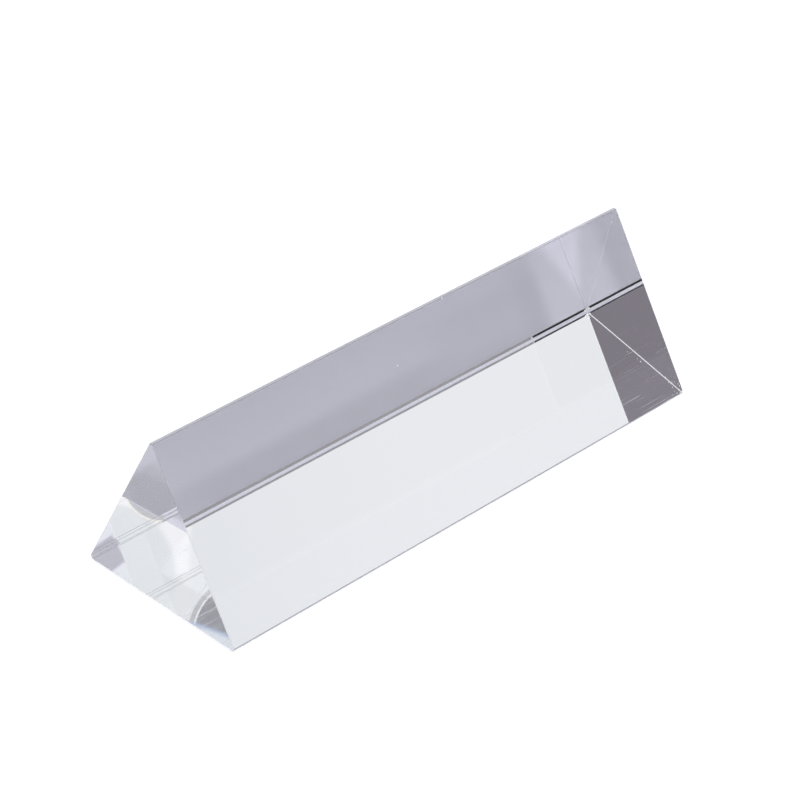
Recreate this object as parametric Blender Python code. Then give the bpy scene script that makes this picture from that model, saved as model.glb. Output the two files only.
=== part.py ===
"""Equilateral prism of optical glass, lying on one of its three long polished faces.

It is one solid piece. +X runs along the prism and +Z is up, and the origin is at
the middle of the face that it lies on. All lengths are in metres.
"""

import math

import bmesh
import bpy
from mathutils import Matrix

# Driving dimensions
LENGTH = 0.150  # from one end face to the other
WIDTH = 0.050  # of the face that it lies on, over the flats on its two long edges
EDGE_FLAT = 0.0009  # width of the flat polished along each long edge
END_FLAT_SETBACK = 0.00025  # how far the small flat around each end face cuts into each face

# Worked out from them
SHARP_SIDE = WIDTH + EDGE_FLAT  # side of the triangle that the long faces would meet in
CORNER_RADIUS = SHARP_SIDE / math.sqrt(3)  # from the prism's axis to a sharp long edge
AXIS_HEIGHT = CORNER_RADIUS / 2  # from the lower face to the axis

# Angle between the normals of two faces, used to tell the end faces' edges from the rest:
# 60 degrees along the flats of the long edges, 90 degrees around each end face
END_EDGE_ANGLE = math.radians(75)

# Borosilicate crown, the usual glass for prisms
GLASS_COLOUR = (0.93, 0.95, 0.96, 1.0)
GLASS_ROUGHNESS = 0.02
GLASS_INDEX = 1.5168


def clear_scene():
    for obj in list(bpy.data.objects):
        bpy.data.objects.remove(obj, do_unlink=True)


def optical_glass():
    """Clear glass with polished faces."""
    material = bpy.data.materials.new("optical_glass")
    material.use_nodes = True
    shader = material.node_tree.nodes["Principled BSDF"]
    shader.inputs["Base Color"].default_value = GLASS_COLOUR
    shader.inputs["Roughness"].default_value = GLASS_ROUGHNESS
    shader.inputs["Metallic"].default_value = 0.0
    shader.inputs["IOR"].default_value = GLASS_INDEX
    shader.inputs["Transmission Weight"].default_value = 1.0
    return material


def add_triangle(bm):
    """Upright equilateral triangle around the axis at one end, with its apex at the top."""
    stand_up = Matrix.Rotation(math.pi / 2, 4, "X")
    face_along_x = Matrix.Rotation(math.pi / 2, 4, "Z")
    to_end = Matrix.Translation((-LENGTH / 2, 0, 0))
    bmesh.ops.create_circle(
        bm,
        cap_ends=True,
        segments=3,
        radius=CORNER_RADIUS,
        matrix=to_end @ face_along_x @ stand_up,
    )


def extrude_along_x(bm):
    """Carries the triangle along the axis to the other end."""
    moved = bmesh.ops.extrude_face_region(bm, geom=bm.faces[:], use_keep_orig=True)
    far_verts = [item for item in moved["geom"] if isinstance(item, bmesh.types.BMVert)]
    bmesh.ops.translate(bm, verts=far_verts, vec=(LENGTH, 0, 0))
    bmesh.ops.recalc_face_normals(bm, faces=bm.faces[:])


def flatten_long_edges(bm):
    """Cuts a flat along each of the three long edges, square to the line to the axis."""
    long_edges = [e for e in bm.edges if abs(e.verts[0].co.x - e.verts[1].co.x) > LENGTH / 2]
    bmesh.ops.bevel(
        bm,
        geom=long_edges,
        offset=EDGE_FLAT,
        offset_type="OFFSET",
        segments=1,
        affect="EDGES",
    )


def flatten_end_edges(obj):
    """Cuts a much smaller flat around both end faces."""
    bevel = obj.modifiers.new("end_flats", "BEVEL")
    bevel.limit_method = "ANGLE"
    bevel.angle_limit = END_EDGE_ANGLE
    bevel.offset_type = "OFFSET"
    bevel.width = END_FLAT_SETBACK
    bevel.segments = 1


def glass_prism():
    """The whole prism, made around its own axis and lifted until its lower face is at Z = 0."""
    bm = bmesh.new()
    add_triangle(bm)
    extrude_along_x(bm)
    flatten_long_edges(bm)
    mesh = bpy.data.meshes.new("glass_prism")
    bm.to_mesh(mesh)
    bm.free()
    mesh.materials.append(optical_glass())
    obj = bpy.data.objects.new("glass_prism", mesh)
    bpy.context.scene.collection.objects.link(obj)
    obj.location = (0, 0, AXIS_HEIGHT)
    flatten_end_edges(obj)
    return obj


clear_scene()
glass_prism()
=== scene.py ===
import math

import bpy
import numpy as np
from mathutils import Matrix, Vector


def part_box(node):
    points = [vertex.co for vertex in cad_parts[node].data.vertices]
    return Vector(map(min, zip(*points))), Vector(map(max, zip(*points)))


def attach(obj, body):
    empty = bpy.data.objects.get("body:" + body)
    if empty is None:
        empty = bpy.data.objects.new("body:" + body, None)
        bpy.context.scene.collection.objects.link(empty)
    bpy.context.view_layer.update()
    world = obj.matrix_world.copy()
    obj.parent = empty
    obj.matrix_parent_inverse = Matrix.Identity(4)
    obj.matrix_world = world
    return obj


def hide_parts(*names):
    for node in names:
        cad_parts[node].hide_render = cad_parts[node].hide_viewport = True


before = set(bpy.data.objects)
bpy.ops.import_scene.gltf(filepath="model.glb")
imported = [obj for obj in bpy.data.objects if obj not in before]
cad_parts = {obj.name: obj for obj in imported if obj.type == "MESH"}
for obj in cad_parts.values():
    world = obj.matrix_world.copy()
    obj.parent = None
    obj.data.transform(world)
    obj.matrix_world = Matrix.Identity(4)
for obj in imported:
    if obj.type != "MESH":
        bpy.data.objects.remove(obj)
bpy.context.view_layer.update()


# ---------------------------------------------------------------- camera
# A long lens on a tripod, high in front of the bar's left end and turned 44 degrees to the
# right, so that the front long face and the near end face both show.
CAMERA_PLACE = (-0.40446, -0.41924, 0.3957)
LOOKS_DOWN = math.radians(32.767)
TURNED_RIGHT = math.radians(44.007)  # from looking along +Y
LEANS = math.radians(-0.378)  # the tripod isn't quite level
FOCAL_MM = 131.7
SENSOR_MM = 36.0

lens = bpy.data.cameras.new("long_lens")
lens.lens = FOCAL_MM
lens.sensor_width = SENSOR_MM
lens.clip_start = 0.05
lens.clip_end = 20
camera = bpy.data.objects.new("camera", lens)
turn = Matrix.Rotation(-TURNED_RIGHT, 4, "Z")
tilt = Matrix.Rotation(math.pi / 2 - LOOKS_DOWN, 4, "X")
lean = Matrix.Rotation(LEANS, 4, "Z")
camera.matrix_world = Matrix.Translation(CAMERA_PLACE) @ turn @ tilt @ lean
bpy.context.scene.collection.objects.link(camera)
bpy.context.scene.camera = camera


# ---------------------------------------------------------------- glass bar
# One bar of borosilicate crown glass, sawn from a block, ground and then polished on its five
# faces. Each long edge has a narrow polished flat and each end face a far finer ground one,
# and small shells of glass have sprung off the corners and edges where it was set down.
LOW, HIGH = (np.array(corner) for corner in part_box("glass_prism"))
LENGTH = HIGH[0] - LOW[0]
WIDTH = HIGH[1] - LOW[1]
EDGE_FLAT = 0.0009  # width of the flat on each long edge
END_FLAT = 0.00016  # how far the flat around each end face is set back
LONG_ROUNDING = 0.00008  # radius between a long face and its edge flat
END_ROUNDING = 0.00003  # radius on both sides of the flat around an end face
ARC_STEPS = 6  # straight pieces in each of these arcs
SHARP_SIDE = WIDTH + EDGE_FLAT
FACE_DISTANCE = SHARP_SIDE / (2 * math.sqrt(3))  # from the axis to a long face
FLAT_DISTANCE = 2 * FACE_DISTANCE - EDGE_FLAT * math.sqrt(3) / 2  # from the axis to an edge flat
POLISHED, GROUND, PAINTED_ARRIS, CHIPPED = range(4)  # in the order in which the materials are put on


def section_outline(inset, rounding):
    """Closed outline of the section, one row of Y and Z for each inset.

    Six straight sides turn by 60 degrees from one to the next: a long face, then an edge flat.
    Each corner is an arc whose centre is where the two sides meet, both moved inwards by the
    rounding, and whose points are the centre plus the rounding times the turning normal.
    """
    side = np.arange(6)
    normal = np.radians(-90 + 60 * side)
    distance = np.where(side % 2 == 0, FACE_DISTANCE, FLAT_DISTANCE)
    this_side = distance[None, :] - inset[:, None] - rounding
    next_side = np.roll(distance, -1)[None, :] - inset[:, None] - rounding
    along = (next_side - this_side / 2) / math.sin(math.radians(60))
    centre_y = this_side * np.cos(normal) - along * np.sin(normal)
    centre_z = this_side * np.sin(normal) + along * np.cos(normal)
    turning = normal[:, None] + np.radians(np.linspace(0, 60, ARC_STEPS + 1))[None, :]
    y = centre_y[:, :, None] + rounding * np.cos(turning)[None]
    z = centre_z[:, :, None] + rounding * np.sin(turning)[None]
    return y.reshape(len(inset), -1), z.reshape(len(inset), -1)


def end_profile():
    """X and inset of the stations from the middle to one end, past its small 45 degree flat.

    The side runs straight to the flat, the flat cuts in as far as it is set back, and two arcs
    of 45 degrees join the side to the flat and the flat to the end face.
    """
    angle = np.radians(np.linspace(0, 45, ARC_STEPS + 1))
    tangent = END_ROUNDING * math.tan(math.radians(22.5))
    first_x = LENGTH / 2 - END_FLAT - tangent + END_ROUNDING * np.sin(angle)
    first_inset = END_ROUNDING * (1 - np.cos(angle))
    second_x = LENGTH / 2 - END_ROUNDING * (1 - np.cos(angle[::-1]))
    second_inset = END_FLAT + tangent - END_ROUNDING * np.sin(angle[::-1])
    return np.concatenate([first_x, second_x]), np.concatenate([first_inset, second_inset])


def bar_mesh():
    """The outline carried along X, shrinking over the end flats, with a flat face closing each end.

    The fine flats around the ends are ground, with the far end's arcs. The arcs along the edges
    and around the near end are blunted by wear and carry dark grey painted shade, and the rest
    is polished.
    """
    x, inset = end_profile()
    x = np.concatenate([-x[::-1], x])
    inset = np.concatenate([inset[::-1], inset])
    y, z = section_outline(inset, LONG_ROUNDING)
    rows, columns = y.shape
    z = np.round(z + FACE_DISTANCE + LOW[2], 9)
    points = np.stack([np.repeat(x[:, None], columns, axis=1), y, z], axis=-1)
    row, column = np.meshgrid(np.arange(rows - 1), np.arange(columns), indexing="ij")
    here = row * columns + column
    after = row * columns + (column + 1) % columns
    sides = np.stack([here, after, after + columns, here + columns], axis=-1).reshape(-1, 4)
    middle = rows // 2 - 1
    straight = column % (ARC_STEPS + 1) == ARC_STEPS
    finish = np.full(row.shape, PAINTED_ARRIS)
    finish[straight & (row == ARC_STEPS)] = GROUND
    finish[straight & (row == middle)] = POLISHED
    finish[straight & (row > middle)] = GROUND
    near_end = np.arange(columns)[::-1].tolist()
    far_end = ((rows - 1) * columns + np.arange(columns)).tolist()
    mesh = bpy.data.meshes.new("prism")
    mesh.from_pydata(points.reshape(-1, 3).tolist(), [], sides.tolist() + [near_end, far_end])
    mesh.polygons.foreach_set("material_index", finish.ravel().tolist() + [POLISHED, POLISHED])
    mesh.update()
    return mesh


def chip_mesh(places, radii):
    """Closed lumps that the chips are cut with, one for each place, stacked into one mesh.

    Each is a sphere of two angles, flattened towards the axis of the bar, whose radius is
    1 + 0.16 cos(3 u + p) sin(v) + 0.07 cos(7 v + 2 p) with its own phase p, for the shell
    shape with its ripples that glass breaks in.
    """
    u = np.linspace(0, 2 * math.pi, 20, endpoint=False)
    v = np.linspace(0, math.pi, 13)[1:-1]
    phase = 2.4 * np.arange(len(places))[:, None, None]
    swell = 0.16 * np.cos(3 * u[None, None, :] + phase) * np.sin(v)[None, :, None]
    ripple = 0.07 * np.cos(7 * v[None, :, None] + 2 * phase)
    radius = radii[:, None, None] * (1 + swell + ripple)
    ring = radius * np.sin(v)[None, :, None]
    lump = np.stack([
        1.3 * ring * np.cos(u + phase),
        ring * np.sin(u + phase),
        radius * np.cos(v)[None, :, None] * np.ones_like(ring),
    ], axis=-1)
    body = (places[:, None, None, :] + lump).reshape(len(places), -1, 3)
    tips = places[:, None, :] + radii[:, None, None] * np.array([[0, 0, 1.0], [0, 0, -1.0]])
    points = np.concatenate([body, tips], axis=1)
    rows, columns = len(v), len(u)
    row, column = np.meshgrid(np.arange(rows - 1), np.arange(columns), indexing="ij")
    here = row * columns + column
    after = row * columns + (column + 1) % columns
    quads = np.stack([here, here + columns, after + columns, after], axis=-1).reshape(-1, 4)
    first = np.arange(columns)
    second = (first + 1) % columns
    top = np.stack([np.full(columns, rows * columns), first, second], axis=-1)
    low = np.stack([np.full(columns, rows * columns + 1), second, first], axis=-1)
    low[:, 1:] += (rows - 1) * columns
    faces = []
    for number in range(len(places)):
        start = number * points.shape[1]
        faces += (quads + start).tolist() + (top + start).tolist() + (low + start).tolist()
    mesh = bpy.data.meshes.new("chips")
    mesh.from_pydata(points.reshape(-1, 3).tolist(), [], faces)
    mesh.polygons.foreach_set("material_index", [CHIPPED] * len(faces))
    mesh.update()
    return mesh


# Millimetres, each row: in from the far end, up the front face from its lower edge, out of the
# glass, and radius
FRONT_CHIPS = np.array([
    (0.1, 0.9, 0.20, 0.50),
    (1.1, 0.9, 0.22, 0.36),
    (0.0, 2.0, 0.16, 0.30),
    (0.1, 3.7, 0.14, 0.22),
    (1.9, 2.9, 0.15, 0.21),
    (2.4, 3.6, 0.17, 0.24),
    (2.7, 4.4, 0.14, 0.19),
    (3.1, 3.3, 0.14, 0.18),
    (3.5, 4.9, 0.15, 0.20),
    (3.9, 6.4, 0.14, 0.18),
    (0.6, 2.7, 0.14, 0.21),
    (1.3, 1.9, 0.15, 0.22),
    (2.2, 1.3, 0.14, 0.19),
    (2.8, 2.1, 0.14, 0.18),
    (0.9, 3.3, 0.13, 0.17),
    (1.8, 4.2, 0.13, 0.17),
    (3.7, 1.5, 0.14, 0.18),
    (9.9, 13.0, 0.17, 0.25),
    (10.6, 14.0, 0.14, 0.18),
    (12.9, 16.8, 0.14, 0.17),
    (0.1, 49.4, 0.20, 0.42),
    (0.2, 47.9, 0.14, 0.22),
    (1.4, 49.9, 0.18, 0.28),
    (2.9, 47.6, 0.14, 0.18),
    (150.0, 0.68, -0.30, 0.36),
    (150.0, 50.22, -0.30, 0.34),
    (61.0, 49.9, 0.25, 0.36),
    (97.0, 0.9, 0.25, 0.36),
]) / 1000
# Millimetres, each row: in from the far end, up the back face from its lower edge, out, radius
BACK_CHIPS = np.array([
    (0.1, 0.9, 0.20, 0.52),
    (0.8, 0.9, 0.20, 0.34),
    (0.1, 1.7, 0.16, 0.30),
]) / 1000


def on_face(chips, towards_y):
    """Places X, Y, Z of the chips on the long face that leans back from -Y (-1) or +Y (1).

    The lower edge's place plus the distance up times (-0.5 towards_y, 0.866), plus the distance
    out of the glass times the face's normal (0.866 towards_y, 0.5).
    """
    x = HIGH[0] - chips[:, 0]
    up, out = chips[:, 1], chips[:, 2]
    y = towards_y * (SHARP_SIDE / 2 - up * 0.5 + out * 0.866)
    z = LOW[2] + up * 0.866 + out * 0.5
    return np.stack([x, y, z], axis=-1)


chip_places = np.concatenate([on_face(FRONT_CHIPS, -1), on_face(BACK_CHIPS, 1)])
chip_radii = np.concatenate([FRONT_CHIPS[:, 3], BACK_CHIPS[:, 3]])
prism = bpy.data.objects.new("prism", bar_mesh())
chips = bpy.data.objects.new("chips", chip_mesh(chip_places, chip_radii))
for made in (prism, chips):
    bpy.context.scene.collection.objects.link(made)


def linear(hex_colour):
    """Scene-linear colour of an sRGB hex string."""
    values = np.array([int(hex_colour[i:i + 2], 16) for i in (1, 3, 5)]) / 255
    straight = np.where(values <= 0.04045, values / 12.92, ((values + 0.055) / 1.055) ** 2.4)
    return (*straight.tolist(), 1.0)


def add(tree, kind, settings, inputs):
    """Adds a node, sets its settings, and gives each input a value or a link."""
    node = tree.nodes.new(kind)
    for name, value in settings.items():
        setattr(node, name, value)
    for name, value in inputs.items():
        if isinstance(value, bpy.types.NodeSocket):
            tree.links.new(value, node.inputs[name])
        else:
            node.inputs[name].default_value = value
    return node


# Crown glass is clear and shows only its surface: hair scratches from wiping, mostly along the
# bar, closer together near the far end where it is held, and grains of dust.
GLASS_INDEX = 1.5168
polished = bpy.data.materials.new("polished_crown_glass")
polished.use_nodes = True
tree = polished.node_tree
tree.nodes.clear()
place = add(tree, "ShaderNodeTexCoord", {}, {}).outputs["Object"]
# Scratches 0.3 mm apart: one set 40 mm long along the bar, one 18 mm long slanting across it
along = add(tree, "ShaderNodeMapping", {}, {
    "Vector": place, "Rotation": (0.0, 0.12, 0.09), "Scale": (25, 3300, 3300),
})
along_noise = add(tree, "ShaderNodeTexNoise", {}, {
    "Vector": along.outputs["Vector"], "Scale": 1.0, "Detail": 1.0,
})
along_lines = add(tree, "ShaderNodeMapRange", {}, {
    "Value": along_noise.outputs["Fac"], "From Min": 0.66, "From Max": 0.74,
})
across = add(tree, "ShaderNodeMapping", {}, {
    "Vector": place, "Rotation": (0.3, 0.9, 0.7), "Scale": (55, 3600, 3600),
})
across_noise = add(tree, "ShaderNodeTexNoise", {}, {
    "Vector": across.outputs["Vector"], "Scale": 1.0, "Detail": 1.0,
})
across_lines = add(tree, "ShaderNodeMapRange", {}, {
    "Value": across_noise.outputs["Fac"], "From Min": 0.70, "From Max": 0.77,
})
lines = add(tree, "ShaderNodeMath", {"operation": "MAXIMUM"}, {
    0: along_lines.outputs["Result"], 1: across_lines.outputs["Result"],
})
# Handled part at the lower front corner of the far end, fading out 4 to 18 mm from its middle
HANDLED = (HIGH[0] - 0.009, LOW[1] + 0.005, 0.009)
from_handled = add(tree, "ShaderNodeVectorMath", {"operation": "DISTANCE"}, {0: place, 1: HANDLED})
handled = add(tree, "ShaderNodeMapRange", {"interpolation_type": "SMOOTHSTEP"}, {
    "Value": from_handled.outputs["Value"], "From Min": 0.004, "From Max": 0.018,
    "To Min": 0.45, "To Max": 0.05,
})
scratch_roughness = add(tree, "ShaderNodeMath", {"operation": "MULTIPLY"}, {
    0: lines.outputs["Value"], 1: handled.outputs["Result"],
})
# Dust: one cell of 2.5 mm in five holds a grain 0.15 mm across
dust = add(tree, "ShaderNodeTexVoronoi", {}, {"Vector": place, "Scale": 400.0})
grain = add(tree, "ShaderNodeMapRange", {}, {
    "Value": dust.outputs["Distance"], "From Min": 0.02, "From Max": 0.04, "To Min": 1.0, "To Max": 0.0,
})
chosen = add(tree, "ShaderNodeMath", {"operation": "GREATER_THAN"}, {0: dust.outputs["Color"], 1: 0.7})
grains = add(tree, "ShaderNodeMath", {"operation": "MULTIPLY"}, {
    0: grain.outputs["Result"], 1: chosen.outputs["Value"],
})
roughness = add(tree, "ShaderNodeMath", {"operation": "MULTIPLY_ADD", "use_clamp": True}, {
    0: grains.outputs["Value"], 1: 0.5, 2: scratch_roughness.outputs["Value"],
})
colour = add(tree, "ShaderNodeMix", {"data_type": "RGBA"}, {
    0: grains.outputs["Value"], 6: linear("#FFFFFF"), 7: linear("#B9B4AC"),
})
shader = add(tree, "ShaderNodeBsdfPrincipled", {}, {
    "Base Color": colour.outputs[2], "Roughness": roughness.outputs["Value"],
    "Metallic": 0.0, "IOR": GLASS_INDEX, "Transmission Weight": 1.0,
})
add(tree, "ShaderNodeOutputMaterial", {}, {"Surface": shader.outputs["BSDF"]})

# The ground flats around the ends are left matt by fine abrasive, so they show as thin white
# lines with a grain of about a tenth of a millimetre.
ground = bpy.data.materials.new("fine_ground_edge")
ground.use_nodes = True
tree = ground.node_tree
tree.nodes.clear()
place = add(tree, "ShaderNodeTexCoord", {}, {}).outputs["Object"]
grain = add(tree, "ShaderNodeTexNoise", {}, {"Vector": place, "Scale": 9000.0, "Detail": 2.0})
matt = add(tree, "ShaderNodeMapRange", {}, {
    "Value": grain.outputs["Fac"], "From Min": 0.3, "From Max": 0.7, "To Min": 0.05, "To Max": 0.2,
})
tone = add(tree, "ShaderNodeMix", {"data_type": "RGBA"}, {
    0: grain.outputs["Fac"], 6: linear("#E4E6EA"), 7: linear("#FBFBFD"),
})
shader = add(tree, "ShaderNodeBsdfPrincipled", {}, {
    "Base Color": tone.outputs[2], "Roughness": matt.outputs["Result"],
    "Metallic": 0.0, "IOR": GLASS_INDEX, "Transmission Weight": 1.0,
})
add(tree, "ShaderNodeOutputMaterial", {}, {"Surface": shader.outputs["BSDF"]})

# The sharp lines between a face and a flat are blunted by wear from handling. Their rounding is
# painted dark grey, mottled a few tenths of a millimetre apart, as painted shade for the darker
# surroundings these edges refract, so they draw the bar's shape in thin grey lines.
painted_arris = bpy.data.materials.new("arris_painted_shade")
painted_arris.use_nodes = True
tree = painted_arris.node_tree
tree.nodes.clear()
place = add(tree, "ShaderNodeTexCoord", {}, {}).outputs["Object"]
edge_mottle = add(tree, "ShaderNodeTexNoise", {}, {"Vector": place, "Scale": 3500.0, "Detail": 3.0})
painted_edge_shade = add(tree, "ShaderNodeMix", {"data_type": "RGBA"}, {
    0: edge_mottle.outputs["Fac"], 6: linear("#45474D"), 7: linear("#7C7F87"),
})
matt = add(tree, "ShaderNodeMapRange", {}, {
    "Value": edge_mottle.outputs["Fac"], "From Min": 0.3, "From Max": 0.7, "To Min": 0.35, "To Max": 0.6,
})
shader = add(tree, "ShaderNodeBsdfPrincipled", {}, {
    "Base Color": painted_edge_shade.outputs[2], "Roughness": matt.outputs["Result"],
    "Metallic": 0.0, "IOR": GLASS_INDEX, "Transmission Weight": 0.4,
})
add(tree, "ShaderNodeOutputMaterial", {}, {"Surface": shader.outputs["BSDF"]})

# A broken face of glass is bright and rippled, with splinters that scatter the light white.
chipped = bpy.data.materials.new("chipped_glass")
chipped.use_nodes = True
tree = chipped.node_tree
tree.nodes.clear()
place = add(tree, "ShaderNodeTexCoord", {}, {}).outputs["Object"]
splinters = add(tree, "ShaderNodeTexNoise", {}, {"Vector": place, "Scale": 4000.0, "Detail": 3.0})
relief = add(tree, "ShaderNodeBump", {}, {
    "Height": splinters.outputs["Fac"], "Strength": 0.6, "Distance": 0.0001,
})
matt = add(tree, "ShaderNodeMapRange", {}, {
    "Value": splinters.outputs["Fac"], "From Min": 0.35, "From Max": 0.65, "To Min": 0.1, "To Max": 0.5,
})
shader = add(tree, "ShaderNodeBsdfPrincipled", {}, {
    "Base Color": linear("#FBFBFD"), "Roughness": matt.outputs["Result"], "Metallic": 0.0,
    "IOR": GLASS_INDEX, "Transmission Weight": 0.8, "Normal": relief.outputs["Normal"],
})
add(tree, "ShaderNodeOutputMaterial", {}, {"Surface": shader.outputs["BSDF"]})

for finish in (polished, ground, painted_arris, chipped):
    prism.data.materials.append(finish)
    chips.data.materials.append(finish)
cut = prism.modifiers.new("chips", "BOOLEAN")
cut.operation = "DIFFERENCE"
cut.solver = "EXACT"
cut.use_self = True
cut.material_mode = "INDEX"
cut.object = chips
cut_mesh = bpy.data.meshes.new_from_object(prism.evaluated_get(bpy.context.evaluated_depsgraph_get()))
prism.modifiers.clear()
prism.data = cut_mesh
prism.data.name = "prism"
bpy.data.objects.remove(chips)
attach(prism, "root")
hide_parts("glass_prism")


# ---------------------------------------------------------------- floor
# A wide sheet of smooth white paper under the bar. Seen directly it is lit so brightly that it
# reads as plain white around the bar, while the paper seen through the glass is a darker, violet
# copy with the bar's soft shade painted on it.
FLOOR_RADIUS = 4.0
FLOOR_POINTS = 96
FLOOR_GAP = 0.0001  # the bar stands clear of the paper on its fibres


def floor_mesh():
    """Circle, radius times the cosine and sine of the angle, closed with one face."""
    angle = np.linspace(0, 2 * math.pi, FLOOR_POINTS, endpoint=False)
    points = np.stack([np.cos(angle), np.sin(angle), np.zeros_like(angle)], axis=-1) * FLOOR_RADIUS
    mesh = bpy.data.meshes.new("floor")
    height = [0, 0, LOW[2] - FLOOR_GAP]
    mesh.from_pydata((points + height).tolist(), [], [list(range(FLOOR_POINTS))])
    mesh.update()
    return mesh


floor = bpy.data.objects.new("floor", floor_mesh())
bpy.context.scene.collection.objects.link(floor)
paper = bpy.data.materials.new("white_paper_painted_shade")
paper.use_nodes = True
tree = paper.node_tree
tree.nodes.clear()
place = add(tree, "ShaderNodeTexCoord", {}, {}).outputs["Object"]
fibres = add(tree, "ShaderNodeTexNoise", {}, {"Vector": place, "Scale": 1800.0, "Detail": 4.0})
shade = add(tree, "ShaderNodeMix", {"data_type": "RGBA"}, {
    0: fibres.outputs["Fac"], 6: linear("#BEBDC7"), 7: linear("#C2C1CA"),
})
# Shade and light on the paper. Each row, in millimetres and degrees: middle of a box in X and
# Y, its half sizes, its turn, share of the half sizes over which its border is soft, and
# brightness inside. A later row lies over the earlier ones.
SHADE = (
    (10, 52, 95, 27, 0, 0.10, 1.06),  # behind the bar
    (0, 0, 75.5, 25.5, 0, 0.01, 1.0),  # under it
    (0, 25, 62, 7, 0, 0.5, 0.87),  # deeper along its back edge
    (52, 16, 26, 6, 0, 0.9, 0.93),  # and towards its far end
    (0, 25.9, 75.5, 1.0, 0, 0.1, 1.26),  # light along its back edge
    (75.5, 8, 12.5, 20, 0, 0.4, 1.13),  # light that the far end throws under it, and its core
    (75.3, 4.4, 7, 16, -25, 0.7, 1.38),
    (97.5, 26.7, 22, 27, 0, 0.04, 1.0),  # beyond the far end
    (84.0, 10.2, 8.6, 10.5, 0, 0.20, 0.90),  # deeper in three steps towards it
    (82.0, 10.0, 6.7, 10.3, 0, 0.20, 0.82),
    (80.4, 9.2, 5.1, 9.5, 0, 0.25, 0.73),
    (97.4, -6.0, 20, 3.2, 0, 0.1, 0.97),  # strip beside it
    (102.7, -39.1, 15.7, 4.0, -61.3, 0.25, 0.83),  # painted shadow streak on the paper
    (0, -25.4, 75.2, 0.9, 0, 0.5, 0.35),  # line where the bar's front edge meets the paper
)
glow = 1.48  # brightness outside all boxes
for middle_x, middle_y, half_x, half_y, turned, soft, inside in SHADE:
    in_box = add(tree, "ShaderNodeMapping", {"vector_type": "TEXTURE"}, {
        "Vector": place, "Location": (middle_x / 1000, middle_y / 1000, 0),
        "Rotation": (0, 0, math.radians(turned)), "Scale": (half_x / 1000, half_y / 1000, 1),
    })
    either_side = add(tree, "ShaderNodeVectorMath", {"operation": "ABSOLUTE"}, {
        0: in_box.outputs["Vector"],
    })
    split = add(tree, "ShaderNodeSeparateXYZ", {}, {"Vector": either_side.outputs["Vector"]})
    out = add(tree, "ShaderNodeMath", {"operation": "MAXIMUM"}, {
        0: split.outputs["X"], 1: split.outputs["Y"],
    })
    share = add(tree, "ShaderNodeMapRange", {"interpolation_type": "SMOOTHSTEP"}, {
        "Value": out.outputs["Value"], "From Min": 1 + soft / 2, "From Max": 1 - soft / 2,
    })
    glow = add(tree, "ShaderNodeMix", {"data_type": "FLOAT"}, {
        0: share.outputs["Result"], 2: glow, 3: inside,
    }).outputs[0]
# The shade is a little violet, and the light neutral
neutral = add(tree, "ShaderNodeMapRange", {}, {"Value": glow, "From Min": 1.38, "From Max": 1.46})
hue = add(tree, "ShaderNodeMix", {"data_type": "RGBA"}, {
    0: neutral.outputs["Result"], 6: shade.outputs[2], 7: linear("#BFC1C4"),
})
shaded_colour = add(tree, "ShaderNodeVectorMath", {"operation": "SCALE"}, {
    0: hue.outputs[2], "Scale": glow,
})
shaded = add(tree, "ShaderNodeBsdfDiffuse", {}, {"Color": shaded_colour.outputs["Vector"]})
# Seen directly the paper is plain white, with a little light of its own to keep it even
bright = add(tree, "ShaderNodeBsdfDiffuse", {}, {"Color": linear("#F9F9F9")})
spill = add(tree, "ShaderNodeEmission", {}, {"Color": linear("#FFFFFF"), "Strength": 0.14})
open_paper = add(tree, "ShaderNodeAddShader", {}, {
    0: bright.outputs["BSDF"], 1: spill.outputs["Emission"],
})
seen_directly = add(tree, "ShaderNodeLightPath", {}, {}).outputs["Is Camera Ray"]
surface = add(tree, "ShaderNodeMixShader", {}, {
    0: seen_directly, 1: shaded.outputs["BSDF"], 2: open_paper.outputs["Shader"],
})
add(tree, "ShaderNodeOutputMaterial", {}, {"Surface": surface.outputs["Shader"]})
floor.data.materials.append(paper)


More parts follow.
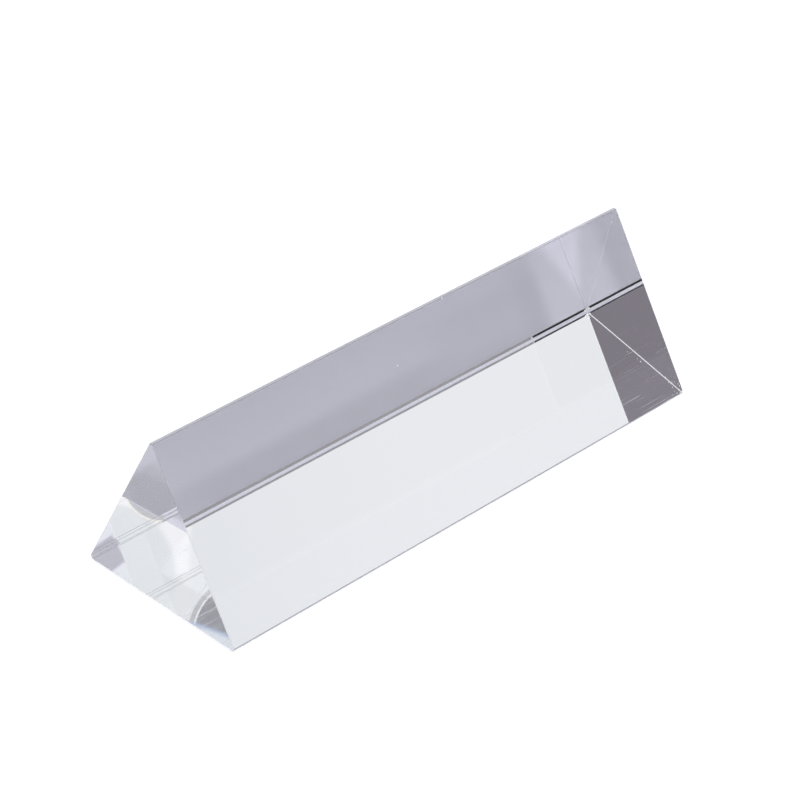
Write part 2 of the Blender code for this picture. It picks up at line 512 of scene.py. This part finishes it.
# ---------------------------------------------------------------- light tent
# A tent of white cloth lit from outside. The cloth is brightest beside the bar's long sides, and
# dark where the room shows through its openings. Seen directly it is plain white.
# Each row: azimuth from +Y towards +X, elevation, radius of the even part, radius where it has
# faded out (all in degrees), colour and strength. A later row lies over the earlier ones.
TENT = (
    (0, 90, 25, 60, "#FBFCFF", 1.12),  # roof
    (-2, 36, 10, 24, "#FBFCFF", 1.5),  # side panel at the back of the bar's long side
    (180, 38, 12, 28, "#FBFCFF", 1.7),  # side panel at its front
    (46, 36, 18, 30, "#F0F2F5", 0.93),  # cloth behind the far end
    (66, 57, 3, 12, "#EFF2F5", 0.95),  # dimmer cloth above it
    (-49, 32, 6, 14, "#807B84", 1.0),  # seam with the stand behind it
    (-138, 16, 8, 17, "#000000", 1.0),  # opening on the left
    (143, 14, 6, 12, "#949498", 1.0),  # opening that the camera looks in by
    (38.6, 34.7, 1.30, 1.34, "#FAFAFE", 1.0),  # lamp head through the cloth, with its shade
    (36.9, 35.9, 1.29, 1.41, "#E4E8EB", 0.97),
    (38.38, 34.2, 0.78, 0.81, "#FFFAF0", 1.0),  # stand of the lamp head, with its bright edge
    (38.38, 34.2, 0.75, 0.77, "#B6B8BE", 1.0),
    (46.3, 35.8, 5.92, 6.05, "#EAEDF1", 0.96),  # patch sewn over the cloth, paler in its middle
    (51, 33, 3, 12, "#F3F5F9", 0.96),
    (66.72, 55.954, 1.19, 1.21, "#BEBFC4", 1.0),  # ring that the roof hangs from
    (66.72, 55.954, 1.10, 1.115, "#F8F8FA", 1.0),
    (66.72, 55.954, 1.065, 1.085, "#96969D", 1.0),
    (56.35, 58.556, 5.97, 6.06, "#B7C5E4", 1.0),  # vent in the roof, blue at its border
    (56.35, 58.556, 5.92, 6.00, "#E1E8F0", 1.0),
)
world = bpy.data.worlds.new("light_tent")
world.use_nodes = True
tree = world.node_tree
tree.nodes.clear()
direction = add(tree, "ShaderNodeTexCoord", {}, {}).outputs["Generated"]
cloth = linear("#F6F7FA")
for azimuth, elevation, even, faded, hex_colour, strength in TENT:
    az, el = math.radians(azimuth), math.radians(elevation)
    centre = (math.sin(az) * math.cos(el), math.cos(az) * math.cos(el), math.sin(el))
    facing = add(tree, "ShaderNodeVectorMath", {"operation": "DOT_PRODUCT"}, {0: direction, 1: centre})
    share = add(tree, "ShaderNodeMapRange", {"interpolation_type": "SMOOTHSTEP"}, {
        "Value": facing.outputs["Value"],
        "From Min": math.cos(math.radians(faded)), "From Max": math.cos(math.radians(even)),
    })
    patch_colour = [value * strength for value in linear(hex_colour)[:3]] + [1.0]
    cloth = add(tree, "ShaderNodeMix", {"data_type": "RGBA"}, {
        0: share.outputs["Result"], 6: cloth, 7: patch_colour,
    }).outputs[2]
tent = add(tree, "ShaderNodeBackground", {}, {"Color": cloth, "Strength": 1.0})
blank = add(tree, "ShaderNodeBackground", {}, {"Color": linear("#FFFFFF"), "Strength": 1.0})
seen_directly = add(tree, "ShaderNodeLightPath", {}, {}).outputs["Is Camera Ray"]
either = add(tree, "ShaderNodeMixShader", {}, {
    0: seen_directly, 1: tent.outputs["Background"], 2: blank.outputs["Background"],
})
add(tree, "ShaderNodeOutputWorld", {}, {"Surface": either.outputs["Shader"]})
bpy.context.scene.world = world

scene = bpy.context.scene
scene.view_settings.view_transform = "Standard"
scene.cycles.max_bounces = 32
scene.cycles.transmission_bounces = 32
scene.cycles.glossy_bounces = 32
scene.cycles.diffuse_bounces = 4
scene.cycles.caustics_reflective = True
scene.cycles.caustics_refractive = True
scene.cycles.blur_glossy = 0.0  # the paper is lit through the glass, so nothing may blur there
